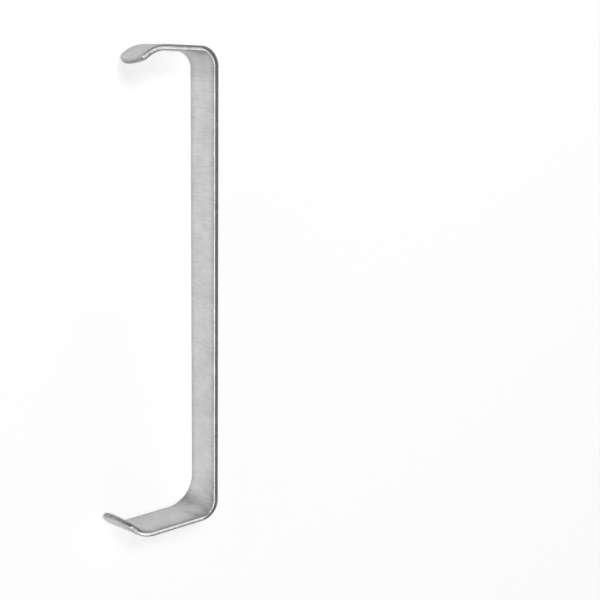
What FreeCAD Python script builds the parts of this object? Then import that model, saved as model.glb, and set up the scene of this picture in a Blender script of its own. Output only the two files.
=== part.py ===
import FreeCAD, Part
import math
import os

# A retractor bent from one flat bar of steel: a straight handle with a blade at each end, and a lip on each blade.
# It lies on one long side of the bar. The handle runs along Y, both blades point to -X, and Z goes across the bar.
# The bends open out towards the side that it lies on, the floor side. The other one is the top side.
# Lengths are in millimetres and angles in degrees. Radii are those of the bar's inner face, at the top side.

overall_length = 150.0        # between the outsides of the two corners of the handle
bar_width = 13.5
bar_thickness = 1.8
edge_radius = 0.45            # easing along the edges of both faces
top_tip_radius = 0.8          # where the bowed end of a blade meets the top side
floor_tip_radius = 3.4        # and where it meets the floor side

lower_blade_angle = 92.0      # between the handle and the blade
lower_corner_radius = 4.3     # bend from the handle into the blade
lower_corner_opening = 5.3    # how much larger its radius is at the floor side
lower_blade_length = 21.9     # from the inside corner to where the lip begins
lower_lip_skew = 2.7          # how much further out the lip lies at the floor side
lower_lip_radius = 8.0
lower_lip_turn = 46.0         # how far the lip turns in towards the other blade
lower_lip_length = 2.6        # straight part of the lip, up to where the end begins to bow
lower_tip_bow = 2.8           # how far the middle of the end stands beyond that

upper_blade_angle = 91.0
upper_corner_radius = 4.3
upper_corner_opening = 0.8
upper_blade_length = 15.8
upper_lip_radius = 10.0
upper_lip_turn = 36.0
upper_lip_length = 2.2
upper_tip_bow = 2.1

spare = bar_thickness         # how far what is cut away reaches past the bar
sharp_angle = 45.0            # faces that meet at more than this have a sharp edge between them


def direction(degrees):
    """Unit vector in the XY plane."""
    angle = math.radians(degrees)
    return FreeCAD.Vector(math.cos(angle), math.sin(angle), 0)


def setback(radius, blade_angle):
    """Distance from an inside corner to where its bend begins."""
    return radius * math.tan(math.radians(180 - blade_angle) / 2)


def bar_steps(openness):
    """Straight runs from the upper tip to the lower one, each with the radius and the turn of the bend after it.

    openness is 0 at the bar's top side and 1 at its floor side.
    """
    upper_radius = upper_corner_radius + openness * upper_corner_opening
    lower_radius = lower_corner_radius + openness * lower_corner_opening
    upper_setback = setback(upper_radius, upper_blade_angle)
    lower_setback = setback(lower_radius, lower_blade_angle)
    handle_run = overall_length - 2 * bar_thickness - upper_setback - lower_setback
    lower_run = lower_blade_length + openness * lower_lip_skew - lower_setback
    return [
        (upper_lip_length, upper_lip_radius, upper_lip_turn),
        (upper_blade_length - upper_setback, upper_radius, 180 - upper_blade_angle),
        (handle_run, lower_radius, 180 - lower_blade_angle),
        (lower_run, lower_lip_radius, lower_lip_turn),
        (lower_lip_length, 0, 0),
    ]


def face_line(openness, offset):
    """Edges of one side of the bar, at a distance outside its inner face, and the point and heading at each end.

    Every bend turns right, and the inside of the bar is on the right. The ends run on past where they begin to bow.
    """
    heading = upper_lip_turn + 90 - upper_blade_angle
    point = direction(heading + 90) * offset + FreeCAD.Vector(0, 0, (1 - openness) * bar_width)
    upper_end = (point, heading)
    square_end = point - direction(heading) * (upper_tip_bow + spare)
    edges = []
    for run, radius, turn in bar_steps(openness):
        start = point if edges else square_end
        point = point + direction(heading) * run
        if turn:
            edges.append(Part.LineSegment(start, point).toShape())
            centre = point - direction(heading + 90) * (radius + offset)
            middle = centre + direction(heading + 90 - turn / 2) * (radius + offset)
            heading -= turn
            bend_end = centre + direction(heading + 90) * (radius + offset)
            edges.append(Part.Arc(point, middle, bend_end).toShape())
            point = bend_end
    square_end = point + direction(heading) * (lower_tip_bow + spare)
    edges.append(Part.LineSegment(start, square_end).toShape())
    return edges, upper_end, (point, heading)


def side_outline(openness):
    """Closed outline of one side of the bar."""
    inner_edges, _, _ = face_line(openness, 0)
    outer_edges, _, _ = face_line(openness, bar_thickness)
    upper_end = Part.LineSegment(outer_edges[0].Vertexes[0].Point, inner_edges[0].Vertexes[0].Point).toShape()
    lower_end = Part.LineSegment(inner_edges[-1].Vertexes[-1].Point, outer_edges[-1].Vertexes[-1].Point).toShape()
    return Part.Wire([upper_end] + inner_edges + [lower_end] + outer_edges[::-1])


def face_between(top_edge, floor_edge):
    """Face that joins an edge of the bar's top side to the same one of its floor side."""
    if not isinstance(top_edge.Curve, Part.Line):
        return Part.makeRuledSurface(top_edge, floor_edge)
    top_start, top_end = [vertex.Point for vertex in top_edge.Vertexes]
    floor_start, floor_end = [vertex.Point for vertex in floor_edge.Vertexes]
    return Part.Face(Part.makePolygon([top_start, top_end, floor_end, floor_start, top_start]))


def bent_bar():
    """The bar with square ends. Straight lines across its width join its two sides."""
    sides = [side_outline(0), side_outline(1)]
    faces = [Part.Face(side) for side in sides]
    faces += [face_between(top_edge, floor_edge) for top_edge, floor_edge in zip(sides[0].Edges, sides[1].Edges)]
    shell = Part.makeShell(faces)
    shell.sewShape()
    return Part.makeSolid(shell)


def end_waste(top_corner, floor_corner, outward, bow):
    """What is cut from a square end to leave a bowed one: a block less a disc."""
    across = top_corner - floor_corner
    half_chord = across.Length / 2
    across.normalize()
    out = (outward - across * outward.dot(across)).normalize()
    normal = out.cross(across)
    end_radius = (half_chord ** 2 + bow ** 2) / (2 * bow)
    disc_centre = bow - end_radius
    block_start = disc_centre / 2
    depth = 2 * (bar_thickness + spare)
    block = Part.makeBox(
        bow + 2 * spare - block_start,
        2 * (half_chord + spare),
        depth,
        FreeCAD.Vector(block_start, -half_chord - spare, -depth / 2),
    )
    disc = Part.makeCylinder(end_radius, depth, FreeCAD.Vector(disc_centre, 0, -depth / 2))
    waste = block.cut(disc)
    middle = (top_corner + floor_corner) / 2
    waste.Placement = FreeCAD.Placement(FreeCAD.Matrix(
        out.x, across.x, normal.x, middle.x,
        out.y, across.y, normal.y, middle.y,
        out.z, across.z, normal.z, middle.z,
        0, 0, 0, 1,
    ))
    return waste


def edge_near(solid, point):
    """The edge of a solid whose middle is nearest to a point."""
    return min(solid.Edges, key=lambda edge: (edge.CenterOfMass - point).Length)


def is_sharp(solid, edge):
    """Whether the two faces at an edge meet at an angle, and don't run smoothly into each other."""
    faces = solid.ancestorsOfType(edge, Part.Face)
    point = edge.valueAt((edge.FirstParameter + edge.LastParameter) / 2)
    normals = [face.normalAt(*face.Surface.parameter(point)) for face in faces]
    return abs(normals[0].dot(normals[1])) < math.cos(math.radians(sharp_angle))


def bar_with_tips():
    """The bent bar with its two ends bowed, and the corners of the ends rounded."""
    bar = bent_bar()
    top_ends = face_line(0, 0)[1:]
    floor_ends = face_line(1, 0)[1:]
    upper_heading, lower_heading = [heading for _, heading in top_ends]
    outwards = (-direction(upper_heading), direction(lower_heading))
    bows = (upper_tip_bow, lower_tip_bow)
    for top_end, floor_end, outward, bow in zip(top_ends, floor_ends, outwards, bows):
        bar = bar.cut(end_waste(top_end[0], floor_end[0], outward, bow))
    solid = bar.Solids[0]
    for ends, radius in ((top_ends, top_tip_radius), (floor_ends, floor_tip_radius)):
        corners = [
            edge_near(solid, point + direction(heading + 90) * (bar_thickness / 2))
            for point, heading in ends
        ]
        solid = solid.makeFillet(radius, corners)
    return solid


def retractor():
    """The whole bar with its edges eased, its box centred over the origin and its floor side on Z = 0."""
    solid = bar_with_tips()
    solid = solid.makeFillet(edge_radius, [edge for edge in solid.Edges if is_sharp(solid, edge)])
    box = solid.optimalBoundingBox()
    solid.translate(FreeCAD.Vector(-box.Center.x, -box.Center.y, -box.ZMin))
    return solid.Solids[0]


os.makedirs("parts", exist_ok=True)
retractor().exportStep("parts/retractor.step")
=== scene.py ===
import math

import bmesh
import bpy
from mathutils import Matrix, Vector


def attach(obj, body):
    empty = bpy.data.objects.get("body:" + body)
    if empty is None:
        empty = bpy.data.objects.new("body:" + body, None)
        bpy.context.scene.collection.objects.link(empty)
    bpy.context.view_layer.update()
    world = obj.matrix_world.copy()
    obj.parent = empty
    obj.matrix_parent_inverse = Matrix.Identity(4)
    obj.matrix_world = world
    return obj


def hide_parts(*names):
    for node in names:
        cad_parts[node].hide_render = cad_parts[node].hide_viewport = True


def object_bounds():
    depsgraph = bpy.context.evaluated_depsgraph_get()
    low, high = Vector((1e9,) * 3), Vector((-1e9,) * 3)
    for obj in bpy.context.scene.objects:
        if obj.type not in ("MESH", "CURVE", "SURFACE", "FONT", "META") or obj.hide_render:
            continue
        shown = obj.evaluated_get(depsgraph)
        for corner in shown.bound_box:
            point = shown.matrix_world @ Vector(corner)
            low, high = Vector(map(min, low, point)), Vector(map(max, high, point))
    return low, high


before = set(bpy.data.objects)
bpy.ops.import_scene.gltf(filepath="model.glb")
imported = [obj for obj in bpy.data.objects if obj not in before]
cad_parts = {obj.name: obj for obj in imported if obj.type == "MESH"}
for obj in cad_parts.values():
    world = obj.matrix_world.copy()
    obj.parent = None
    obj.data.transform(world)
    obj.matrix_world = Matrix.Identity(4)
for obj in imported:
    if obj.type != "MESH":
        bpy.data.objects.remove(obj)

cad_low, cad_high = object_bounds()

# The bar's sizes, in metres and degrees. Bend radii are those of its inner face, at the top side.
overall_length = 0.150
bar_width = 0.0135
bar_thickness = 0.0018
edge_radius = 0.00045
top_tip_radius = 0.0008         # where the bowed end of a blade meets the top side
floor_tip_radius = 0.0034       # and where it meets the floor side

lower_blade_angle = 92.0
lower_corner_radius = 0.0043
lower_corner_opening = 0.0053   # how much larger that radius is at the floor side
lower_blade_length = 0.0219
lower_lip_skew = 0.0027         # how much further out the lip lies at the floor side
lower_lip_radius = 0.008
lower_lip_turn = 46.0
lower_lip_length = 0.0026
lower_tip_bow = 0.0028          # how far the middle of the end stands beyond the lip's straight part

upper_blade_angle = 91.0
upper_corner_radius = 0.0043
upper_corner_opening = 0.0008
upper_blade_length = 0.0158
upper_lip_radius = 0.010
upper_lip_turn = 36.0
upper_lip_length = 0.0022
upper_tip_bow = 0.0021

# How finely the curves are cut.
degrees_per_cut = 2.5
bow_cuts = 40
tip_corner_cuts = 12
edge_segments = 4
floor_segments = 64
cut_tolerance = 1e-7            # in metres

# How the faces of the flat bar are told apart, by how far they point along an axis, from 0 to 1.
sharp_turn = math.radians(60)   # edges that turn by more than this are eased
broad_pointing = 0.999          # of a broad face, through the bar's thickness
eased_pointing = 0.1            # of an eased edge of one, at the least
end_pointing = 0.5              # of a bowed end, along the bar

# Material numbers.
face_finish, side_finish, end_and_shade_finish, edge_finish = range(4)

# Where the camera stands, in metres, and how it is held.
camera_place = Vector((-0.173435, 0.072054, 0.30385))
camera_aim = Vector((0.055345, -0.007916, 0.00675))
camera_roll = math.radians(0.98)
camera_lens = 67.93             # in millimetres

# Marks on the steel, and painted shade on it, in metres.
clouds_per_metre = 160.0
shade_margin_width = 0.003            # how far in from its edges a broad face is painted a little darker, as shade
shade_line_width = 0.0003             # and how far in a painted dark line runs, where the easing begins
shade_past_the_bend = 0.001           # how far beyond the middle of the lower bend the painted shade is darkest
lower_bend_shade_reach = 0.0055       # how far to either side of that it is painted darker, as shade
upper_bend_shade_reach = 0.013        # and to either side of where the upper bend starts
crown_radius = 0.0045           # of the long sides, which are ground a little round
noise_span = (0.3, 0.7)         # the part of a noise, out of 0 to 1, that is drawn out to its full range

# The floor, and how bright the studio is above it. The brightness of white is 1.
floor_radius = 3.0
floor_tone = 0.8
floor_glow = 0.67               # what the floor adds of its own to what it shows of the lamps
key_height = 1.1
softbox_height = 1.0
ceiling_tone = 0.2
white_up_to = 0.1               # height of a direction above the horizon, up to which the studio is white
grey_from = 0.4


def setback(radius, blade_angle):
    """Distance from an inside corner to where its bend begins."""
    return radius * math.tan(math.radians(180 - blade_angle) / 2)


def bar_steps(openness):
    """Straight runs from the upper tip to the lower one, each with radius and turn of the bend after it.

    openness is 0 at the bar's top side and 1 at its floor side.
    """
    upper_radius = upper_corner_radius + openness * upper_corner_opening
    lower_radius = lower_corner_radius + openness * lower_corner_opening
    upper_setback = setback(upper_radius, upper_blade_angle)
    lower_setback = setback(lower_radius, lower_blade_angle)
    handle_run = overall_length - 2 * bar_thickness - upper_setback - lower_setback
    lower_run = lower_blade_length + openness * lower_lip_skew - lower_setback
    return [
        (upper_lip_length, upper_lip_radius, upper_lip_turn),
        (upper_blade_length - upper_setback, upper_radius, 180 - upper_blade_angle),
        (handle_run, lower_radius, 180 - lower_blade_angle),
        (lower_run, lower_lip_radius, lower_lip_turn),
        (lower_lip_length, 0, 0),
    ]


# The flat bar is laid out by the middle of its width.
middle_steps = bar_steps(0.5)
step_lengths = [run + radius * math.radians(turn) for run, radius, turn in middle_steps]
flat_length = sum(step_lengths)
_, lower_bend_radius, lower_bend_turn = middle_steps[2]
lower_bend_middle = sum(step_lengths[:3]) - math.radians(lower_bend_turn) * lower_bend_radius / 2
upper_bend_start = step_lengths[0] + middle_steps[1][0]


def bend_cuts():
    """Where along the flat bar it is cut across, so that it can bend there."""
    cuts = []
    along = 0.0
    for run, radius, turn in middle_steps:
        along += run
        count = math.ceil(turn / degrees_per_cut)
        arc = radius * math.radians(turn)
        cuts += [along + arc * i / count for i in range(count + 1)] if turn else []
        along += arc
    return cuts


def unit(degrees):
    """Unit vector in the XY plane."""
    return Vector((math.cos(math.radians(degrees)), math.sin(math.radians(degrees)), 0))


def followed(openness, along):
    """Follows one side of the bar's inner face. Returns the point, the heading and the length so far.

    along is measured on the middle of the bar's width, and stretched to this side's own runs and bends.
    """
    heading = upper_lip_turn + 90 - upper_blade_angle
    point = Vector((0, 0, (1 - openness) * bar_width))
    length = 0.0
    for (run, radius, turn), (middle_run, middle_radius, _) in zip(bar_steps(openness), middle_steps):
        if along <= middle_run or not turn:
            part = along / middle_run
            return point + unit(heading) * run * part, heading, length + run * part
        along -= middle_run
        centre = point + unit(heading) * run - unit(heading + 90) * radius
        middle_arc = middle_radius * math.radians(turn)
        part = min(along / middle_arc, 1.0)
        heading -= turn * part
        point = centre + unit(heading + 90) * radius
        length += run + radius * math.radians(turn) * part
        if along <= middle_arc:
            return point, heading, length
        along -= middle_arc


def bent(along, across, depth):
    """Where a point of the flat bar goes: along and across its inner face, and depth below it."""
    sides = []
    for openness in (1, 0):
        point, heading, _ = followed(openness, along)
        sides.append(point + unit(heading + 90) * depth)
    return sides[0].lerp(sides[1], across / bar_width)


def true_length(along, across):
    """Length of the bent bar up to a point of the flat one. Marks laid out by it run straight across."""
    floor_length, top_length = [followed(openness, along)[2] for openness in (1, 0)]
    return floor_length + (top_length - floor_length) * across / bar_width


def cross_point(start, heading, centre, radius):
    """Where a line from inside a circle runs out of it."""
    to_start = start - centre
    towards = to_start.dot(heading)
    return start + heading * (math.sqrt(towards ** 2 - to_start.length_squared + radius ** 2) - towards)


def sweep(bm, vert, centre, end, cuts):
    """Turns a vertex about a centre up to an end point. It leaves edges behind. Returns its last place."""
    angle = (vert.co - centre).to_2d().angle_signed((end - centre).to_2d())
    swept = bmesh.ops.spin(bm, geom=[vert], cent=centre, axis=(0, 0, 1), angle=-angle, steps=cuts)
    return swept["geom_last"][0]


def add_tip(bm, place, outward, skew, lip_turn, bow_rise):
    """Outline of one bowed end, from the floor side to the top side, laid out in the plane of the flat bar.

    It is drawn square to the line between the end's two corners, and then sheared onto the bar's own sides.
    Returns the first and the last vertex.
    """
    chord = math.hypot(bar_width, skew)
    lean = math.asin(skew * math.cos(math.radians(lip_turn)) / chord)
    side = Vector((math.cos(lean), -math.sin(lean), 0))
    inward = Vector((math.sin(lean), math.cos(lean), 0))
    bow_radius = (chord ** 2 / 4 + bow_rise ** 2) / (2 * bow_rise)
    bow_centre = Vector((bow_rise - bow_radius, 0, 0))
    floor_start = Vector((0, -chord / 2, 0)) + inward * floor_tip_radius
    top_start = Vector((0, chord / 2, 0)) - inward * top_tip_radius
    floor_centre = cross_point(floor_start, side, bow_centre, bow_radius - floor_tip_radius)
    top_centre = cross_point(top_start, side, bow_centre, bow_radius - top_tip_radius)
    bow_start = bow_centre + (floor_centre - bow_centre).normalized() * bow_radius
    bow_end = bow_centre + (top_centre - bow_centre).normalized() * bow_radius
    first = bmesh.ops.create_vert(bm, co=floor_centre - inward * floor_tip_radius)["vert"][0]
    before = set(bm.verts) - {first}
    vert = sweep(bm, first, floor_centre, bow_start, tip_corner_cuts)
    vert = sweep(bm, vert, bow_centre, bow_end, bow_cuts)
    last = sweep(bm, vert, top_centre, top_centre + inward * top_tip_radius, tip_corner_cuts)
    shear = Matrix((
        (outward / math.cos(lean), 0, 0, place),
        (math.tan(lean) * bar_width / chord, bar_width / chord, 0, bar_width / 2),
        (0, 0, 1, 0),
        (0, 0, 0, 1),
    ))
    bmesh.ops.transform(bm, matrix=shear, verts=[v for v in bm.verts if v not in before])
    return first, last


def flat_bar():
    """The bar before it is bent: X along, Y across and Z the depth, with bowed ends and eased edges."""
    bm = bmesh.new()
    upper = add_tip(bm, place=0, outward=-1, skew=0, lip_turn=upper_lip_turn, bow_rise=upper_tip_bow)
    lower = add_tip(
        bm, place=flat_length, outward=1, skew=lower_lip_skew, lip_turn=lower_lip_turn,
        bow_rise=lower_tip_bow,
    )
    for ends in zip(upper, lower):
        bmesh.ops.contextual_create(bm, geom=ends)
    bmesh.ops.contextual_create(bm, geom=bm.edges[:])
    shell = bmesh.ops.extrude_face_region(bm, geom=bm.faces[:])
    outer = [v for v in shell["geom"] if isinstance(v, bmesh.types.BMVert)]
    bmesh.ops.translate(bm, vec=(0, 0, bar_thickness), verts=outer)
    bmesh.ops.recalc_face_normals(bm, faces=bm.faces)
    rims = [e for e in bm.edges if e.calc_face_angle(0) > sharp_turn]
    bmesh.ops.bevel(
        bm, geom=rims, affect="EDGES", offset=edge_radius, segments=edge_segments,
        profile=0.5, material=-1,
    )
    for cut in bend_cuts():
        bmesh.ops.bisect_plane(
            bm, geom=bm.verts[:] + bm.edges[:] + bm.faces[:], dist=cut_tolerance,
            plane_co=(cut, 0, 0), plane_no=(1, 0, 0),
        )
    return bm


def lay_out_marks(bm):
    """UV map in metres. U is each side's own length, and V goes round from the middle of the floor side.

    On the two ends U goes across the bar and V through its thickness.
    """
    uv = bm.loops.layers.uv.new("bar")
    for face in bm.faces:
        at_end = abs(face.normal.x) > end_pointing
        for loop in face.loops:
            flat_along, across, depth = loop.vert.co
            along = true_length(flat_along, across)
            upper_side = across > bar_width / 2
            if at_end:
                loop[uv].uv = (across, depth)
            elif face.calc_center_median().z < bar_thickness / 2:
                loop[uv].uv = (along, across + depth if upper_side else across - depth)
            elif upper_side:
                loop[uv].uv = (along, 2 * bar_width + depth - across)
            else:
                loop[uv].uv = (along, 2 * (bar_width + bar_thickness) - depth - across)


def sort_finishes(bm):
    """Gives each face its finish.

    The eased edges of the floor side, which the bar is laid down on, get the ends' dull, dark steel, whose
    dark tone is painted shade.
    """
    for face in bm.faces:
        laid_on = face.calc_center_median().y < edge_radius
        if abs(face.normal.z) > broad_pointing:
            face.material_index = face_finish
        elif abs(face.normal.z) > eased_pointing:
            # painted shade: the eased edges that the bar lies on get the ends' dark steel
            face.material_index = end_and_shade_finish if laid_on else edge_finish
        elif abs(face.normal.x) > end_pointing:
            face.material_index = end_and_shade_finish
        else:
            face.material_index = side_finish


def add_object(name, data):
    """A new object in the scene."""
    made = bpy.data.objects.new(name, data)
    bpy.context.scene.collection.objects.link(made)
    return made


def retractor_piece(materials):
    """The bent bar, in the place of the solid. The materials are in the order of their numbers."""
    bm = flat_bar()
    bm.normal_update()
    lay_out_marks(bm)
    sort_finishes(bm)
    for vert in bm.verts:
        vert.co = bent(vert.co.x, vert.co.y, vert.co.z)
    bmesh.ops.recalc_face_normals(bm, faces=bm.faces)
    low = Vector([min(v.co[i] for v in bm.verts) for i in range(3)])
    high = Vector([max(v.co[i] for v in bm.verts) for i in range(3)])
    bmesh.ops.translate(bm, vec=(cad_low + cad_high - low - high) / 2, verts=bm.verts)
    for face in bm.faces:
        face.smooth = True
    mesh = bpy.data.meshes.new("retractor_bar")
    bm.to_mesh(mesh)
    bm.free()
    piece = add_object("retractor_bar", mesh)
    for material in materials:
        mesh.materials.append(material)
    weighted = piece.modifiers.new("even_shading", "WEIGHTED_NORMAL")
    weighted.weight = 100
    return piece


def place_node(tree, kind, inputs=None, **settings):
    """A new node. Plain values go on its inputs, and outputs of other nodes are linked to them."""
    node = tree.nodes.new(kind)
    for name, value in settings.items():
        setattr(node, name, value)
    for name, value in (inputs or {}).items():
        if isinstance(value, bpy.types.NodeSocket):
            tree.links.new(value, node.inputs[name])
        else:
            node.inputs[name].default_value = value
    return node


def reckon(tree, operation, *values):
    """The result of one sum on numbers or outputs."""
    return place_node(tree, "ShaderNodeMath", dict(enumerate(values)), operation=operation).outputs[0]


def add_up(tree, total, weighted_outputs):
    """A number with outputs added to it, each times its own weight."""
    for output, weight in weighted_outputs:
        total = reckon(tree, "MULTIPLY_ADD", output, weight, total)
    return total


def between(tree, value, low_end, high_end):
    """0 up to the low end, 1 from the high end, and a smooth rise between them."""
    rise = {"Value": value, "From Min": low_end, "From Max": high_end}
    return place_node(tree, "ShaderNodeMapRange", rise, interpolation_type="SMOOTHSTEP").outputs["Result"]


def new_effect(name, inputs, outputs):
    """An empty node group, with the nodes that its inputs come from and its outputs go to."""
    tree = bpy.data.node_groups.new(name, "ShaderNodeTree")
    for label, kind in inputs.items():
        tree.interface.new_socket(name=label, in_out="INPUT", socket_type=kind)
    for label in outputs:
        tree.interface.new_socket(name=label, in_out="OUTPUT", socket_type="NodeSocketFloat")
    return tree, tree.nodes.new("NodeGroupInput").outputs, tree.nodes.new("NodeGroupOutput").inputs


def brushing_effect():
    """Fine lines across the bar, and the faint clouds that uneven pressure leaves."""
    inputs = {
        "Place": "NodeSocketVector",
        "Lines per metre": "NodeSocketFloat",
        "Line length": "NodeSocketFloat",
    }
    tree, given, result = new_effect("brushing", inputs, ["Lines", "Clouds"])
    split = place_node(tree, "ShaderNodeSeparateXYZ", {0: given["Place"]}).outputs
    along = reckon(tree, "MULTIPLY", split["X"], given["Lines per metre"])
    across = reckon(tree, "DIVIDE", split["Y"], given["Line length"])
    lined = place_node(tree, "ShaderNodeCombineXYZ", {"X": along, "Y": across}).outputs[0]
    lines = place_node(
        tree, "ShaderNodeTexNoise", {"Vector": lined, "Scale": 1.0, "Detail": 3.0, "Roughness": 0.7},
    )
    clouds = place_node(
        tree, "ShaderNodeTexNoise", {"Vector": given["Place"], "Scale": clouds_per_metre, "Detail": 2.0},
    )
    tree.links.new(between(tree, lines.outputs[0], *noise_span), result["Lines"])
    tree.links.new(between(tree, clouds.outputs[0], *noise_span), result["Clouds"])
    return tree


def past_face_start(tree, place):
    """How far round the bar a place is from where its broad face starts, or on a long side the one before."""
    round_bar = place_node(tree, "ShaderNodeSeparateXYZ", {0: place}).outputs["Y"]
    return reckon(tree, "FLOORED_MODULO", round_bar, bar_width + bar_thickness)


def face_edge_shade_effect():
    """Masks at both edges of a broad face for painted shade: a wide soft margin, and a dark line where the
    easing begins.
    """
    tree, given, result = new_effect("face_edge", {"Place": "NodeSocketVector"}, ["Margin", "Line"])
    over_face = past_face_start(tree, given["Place"])
    from_middle = reckon(tree, "ABSOLUTE", reckon(tree, "SUBTRACT", over_face, bar_width / 2))
    face_end = bar_width / 2 - edge_radius
    margin = between(tree, from_middle, face_end - shade_margin_width, face_end)
    line = between(tree, from_middle, face_end - shade_line_width, face_end - shade_line_width / 2)
    tree.links.new(margin, result["Margin"])
    tree.links.new(line, result["Line"])
    return tree


def crown_effect():
    """How far a long side lies below the middle of its thickness, ground a little round, in metres."""
    tree, given, result = new_effect("crown", {"Place": "NodeSocketVector"}, ["Drop"])
    over_side = past_face_start(tree, given["Place"])
    from_middle = reckon(tree, "SUBTRACT", over_side, bar_width + bar_thickness / 2)
    squared = reckon(tree, "MULTIPLY", from_middle, from_middle)
    tree.links.new(reckon(tree, "DIVIDE", squared, 2 * crown_radius), result["Drop"])
    return tree


def bend_shade_effect():
    """1 at a place along the bar, and 0 beyond a reach to either side of it. It masks the painted shade in
    the bends.
    """
    inputs = {"Place": "NodeSocketVector", "Middle": "NodeSocketFloat", "Reach": "NodeSocketFloat"}
    tree, given, result = new_effect("bend", inputs, ["Bend"])
    along = place_node(tree, "ShaderNodeSeparateXYZ", {0: given["Place"]}).outputs["X"]
    away = reckon(tree, "ABSOLUTE", reckon(tree, "SUBTRACT", along, given["Middle"]))
    bend = between(tree, reckon(tree, "DIVIDE", away, given["Reach"]), 1.0, 0.0)
    tree.links.new(bend, result["Bend"])
    return tree


def add_effect(tree, effect, **inputs):
    """Places a node group in a material and returns its outputs."""
    node = tree.nodes.new("ShaderNodeGroup")
    node.node_tree = effect
    for name, value in inputs.items():
        socket = node.inputs[name.replace("_", " ").capitalize()]
        if isinstance(value, bpy.types.NodeSocket):
            tree.links.new(value, socket)
        else:
            socket.default_value = value
    return node.outputs


def grey(tone):
    """A neutral grey."""
    return (tone, tone, tone, 1)


def new_steel(name, anisotropy):
    """A bare metal whose gloss is drawn out along the bar. Returns also the place that its marks go by."""
    material = bpy.data.materials.new(name)
    material.use_nodes = True
    tree = material.node_tree
    shader = tree.nodes["Principled BSDF"]
    shader.inputs["Metallic"].default_value = 1
    shader.inputs["Anisotropic"].default_value = anisotropy
    along = place_node(tree, "ShaderNodeTangent", direction_type="UV_MAP", uv_map="bar")
    tree.links.new(along.outputs[0], shader.inputs["Tangent"])
    place = place_node(tree, "ShaderNodeUVMap", uv_map="bar").outputs[0]
    return material, tree, shader, place


def shade_steel(tree, shader, light_share, lines, dark_tone, light_tone, line_depth, drop=None):
    """Gives a steel its tone and its relief in metres: the lines, less a drop where one is given."""
    tone = place_node(tree, "ShaderNodeMix", {"Factor": light_share}, data_type="RGBA")
    tone.inputs["A"].default_value = grey(dark_tone)
    tone.inputs["B"].default_value = grey(light_tone)
    height = reckon(tree, "MULTIPLY", lines, line_depth)
    height = reckon(tree, "SUBTRACT", height, drop) if drop else height
    relief = place_node(tree, "ShaderNodeBump", {"Height": height, "Strength": 1.0, "Distance": 1.0})
    tree.links.new(tone.outputs["Result"], shader.inputs["Base Color"])
    tree.links.new(relief.outputs[0], shader.inputs["Normal"])


def brushed_face(brushing, face_edge, bend):
    """The broad faces: satin, lined across, with painted shade at their edges and inside the bends."""
    material, tree, shader, place = new_steel("brushed_face", anisotropy=0.6)
    marks = add_effect(tree, brushing, place=place, lines_per_metre=1500.0, line_length=0.007)
    edge = add_effect(tree, face_edge, place=place)
    lower_shade_middle = lower_bend_middle + shade_past_the_bend
    lower = add_effect(tree, bend, place=place, middle=lower_shade_middle, reach=lower_bend_shade_reach)["Bend"]
    upper = add_effect(tree, bend, place=place, middle=upper_bend_start, reach=upper_bend_shade_reach)["Bend"]
    light_share = add_up(tree, 0.58, [
        (marks["Lines"], 0.24),
        (marks["Clouds"], 0.12),
        # painted shade: darker margins and a dark line along both edges of the face
        (edge["Margin"], -0.17),
        (edge["Line"], -0.3),
        # painted shade inside the bends, blotchy where the brushing clouds fall
        (reckon(tree, "MULTIPLY", lower, marks["Clouds"]), -0.4),
        (lower, -0.18),
        (upper, -0.2),
    ])
    shade_steel(
        tree, shader, light_share, marks["Lines"], dark_tone=0.22, light_tone=0.68, line_depth=4e-6,
    )
    roughness = add_up(tree, 0.32, [(marks["Lines"], 0.12)])
    tree.links.new(roughness, shader.inputs["Roughness"])
    shader.inputs["Specular Tint"].default_value = grey(0.78)
    return material


def ground_side(brushing, crown):
    """The long sides: short grinding lines through the bar's thickness."""
    material, tree, shader, place = new_steel("ground_side", anisotropy=0.95)
    lines = add_effect(tree, brushing, place=place, lines_per_metre=1100.0, line_length=0.004)["Lines"]
    drop = add_effect(tree, crown, place=place)["Drop"]
    shade_steel(tree, shader, lines, lines, dark_tone=0.44, light_tone=0.64, line_depth=6e-6, drop=drop)
    shader.inputs["Roughness"].default_value = 0.55
    return material


def ground_end_with_painted_shade(brushing):
    """The bowed ends, and the floor side's eased edges: ground dull, with a dark tone that is painted shade.
    """
    material, tree, shader, place = new_steel("ground_end_with_painted_shade", anisotropy=0.0)
    lines = add_effect(tree, brushing, place=place, lines_per_metre=1500.0, line_length=0.003)["Lines"]
    # the low tone is painted shade, darker than the bare steel
    shade_steel(tree, shader, lines, lines, dark_tone=0.2, light_tone=0.38, line_depth=4e-6)
    shader.inputs["Roughness"].default_value = 0.4
    return material


def polished_edge(brushing):
    """The eased edges: buffed, dark where nothing bright is mirrored in them."""
    material, tree, shader, place = new_steel("polished_edge", anisotropy=0.9)
    marks = add_effect(tree, brushing, place=place, lines_per_metre=600.0, line_length=0.002)
    shade_steel(
        tree, shader, marks["Clouds"], marks["Lines"], dark_tone=0.40, light_tone=0.52, line_depth=1e-6,
    )
    shader.inputs["Roughness"].default_value = 0.35
    return material


def add_camera():
    """The photograph's view, with the camera rolled a little about its own axis."""
    data = bpy.data.cameras.new("camera")
    data.lens = camera_lens
    data.clip_start = 0.01
    data.clip_end = 10
    camera = add_object("camera", data)
    forward = (camera_aim - camera_place).normalized()
    right = forward.cross(Vector((0, 1, 0))).normalized()
    up = right.cross(forward)
    turn = Matrix((right, up, -forward)).transposed() @ Matrix.Rotation(camera_roll, 3, "Z")
    camera.matrix_world = Matrix.Translation(camera_place) @ turn.to_4x4()
    bpy.context.scene.camera = camera


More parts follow.
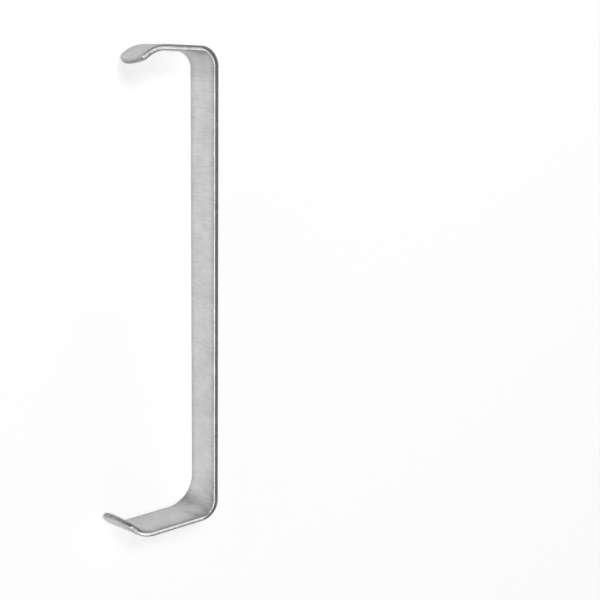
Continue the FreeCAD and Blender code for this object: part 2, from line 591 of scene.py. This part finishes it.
def add_floor():
    """A plain white floor that keeps the shadow, and looks as white in the steel as to the camera."""
    bm = bmesh.new()
    bmesh.ops.create_circle(bm, cap_ends=True, segments=floor_segments, radius=floor_radius)
    mesh = bpy.data.meshes.new("floor")
    bm.to_mesh(mesh)
    bm.free()
    floor = add_object("floor", mesh)
    material = bpy.data.materials.new("floor")
    material.use_nodes = True
    tree = material.node_tree
    tree.nodes.clear()
    ray = place_node(tree, "ShaderNodeLightPath").outputs
    seen = reckon(tree, "MAXIMUM", ray["Is Camera Ray"], ray["Is Glossy Ray"])
    seen = reckon(tree, "MAXIMUM", seen, ray["Is Transmission Ray"])
    paint = place_node(tree, "ShaderNodeBsdfDiffuse", {"Color": grey(floor_tone)})
    glow = place_node(tree, "ShaderNodeEmission", {"Strength": reckon(tree, "MULTIPLY", seen, floor_glow)})
    both = place_node(tree, "ShaderNodeAddShader", {0: paint.outputs[0], 1: glow.outputs[0]})
    place_node(tree, "ShaderNodeOutputMaterial", {"Surface": both.outputs[0]})
    mesh.materials.append(material)


def add_light(name, low_corner, high_corner, height, brightness, for_floor=False):
    """A level rectangle of light that shines down, from one corner over the floor to the other.

    Its brightness is what it would look like in a mirror, where 1 is white. One for the floor lights it and
    casts the shadow, and the others are there for the steel to mirror.
    """
    size = high_corner - low_corner
    data = bpy.data.lights.new(name, "AREA")
    data.shape = "RECTANGLE"
    data.size, data.size_y = size
    data.energy = brightness * math.pi * size.x * size.y
    light = add_object(name, data)
    light.location = ((low_corner + high_corner) / 2).to_3d() + Vector((0, 0, height))
    light.visible_diffuse = for_floor
    light.visible_glossy = not for_floor


def add_world():
    """White near the horizon and grey overhead, as a studio with a pale sweep and a dim ceiling."""
    world = bpy.data.worlds.new("studio")
    world.use_nodes = True
    tree = world.node_tree
    back = tree.nodes["Background"]
    direction = place_node(tree, "ShaderNodeTexCoord").outputs["Generated"]
    height = place_node(tree, "ShaderNodeSeparateXYZ", {0: direction}).outputs["Z"]
    heights = {"Value": height, "From Min": white_up_to, "From Max": grey_from}
    tones = {"To Min": 1.0, "To Max": ceiling_tone}
    tone = place_node(tree, "ShaderNodeMapRange", heights | tones, interpolation_type="SMOOTHSTEP")
    tree.links.new(tone.outputs["Result"], back.inputs["Strength"])
    back.inputs["Color"].default_value = grey(1.0)
    bpy.context.scene.world = world


brushing = brushing_effect()
piece = retractor_piece([
    brushed_face(brushing, face_edge_shade_effect(), bend_shade_effect()),
    ground_side(brushing, crown_effect()),
    ground_end_with_painted_shade(brushing),
    polished_edge(brushing),
])
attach(piece, "root")
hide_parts("retractor")

add_floor()
add_world()
add_light(
    "key", Vector((-0.5, 0.55)), Vector((0.0, 0.95)), key_height, brightness=7.0, for_floor=True,
)
add_light(
    "softbox_over_the_tips", Vector((-1.5, -0.66)), Vector((0.1, 0.12)), softbox_height, brightness=4.9,
)
add_light(
    "softbox_beyond_the_shorter_blade", Vector((0.45, 0.2)), Vector((0.62, 0.6)), softbox_height,
    brightness=2.2,
)
add_light(
    "softbox_beyond_the_longer_blade", Vector((0.5, -0.9)), Vector((0.7, -0.6)), softbox_height,
    brightness=1.6,
)
add_camera()

bpy.context.scene.view_settings.view_transform = "Standard"
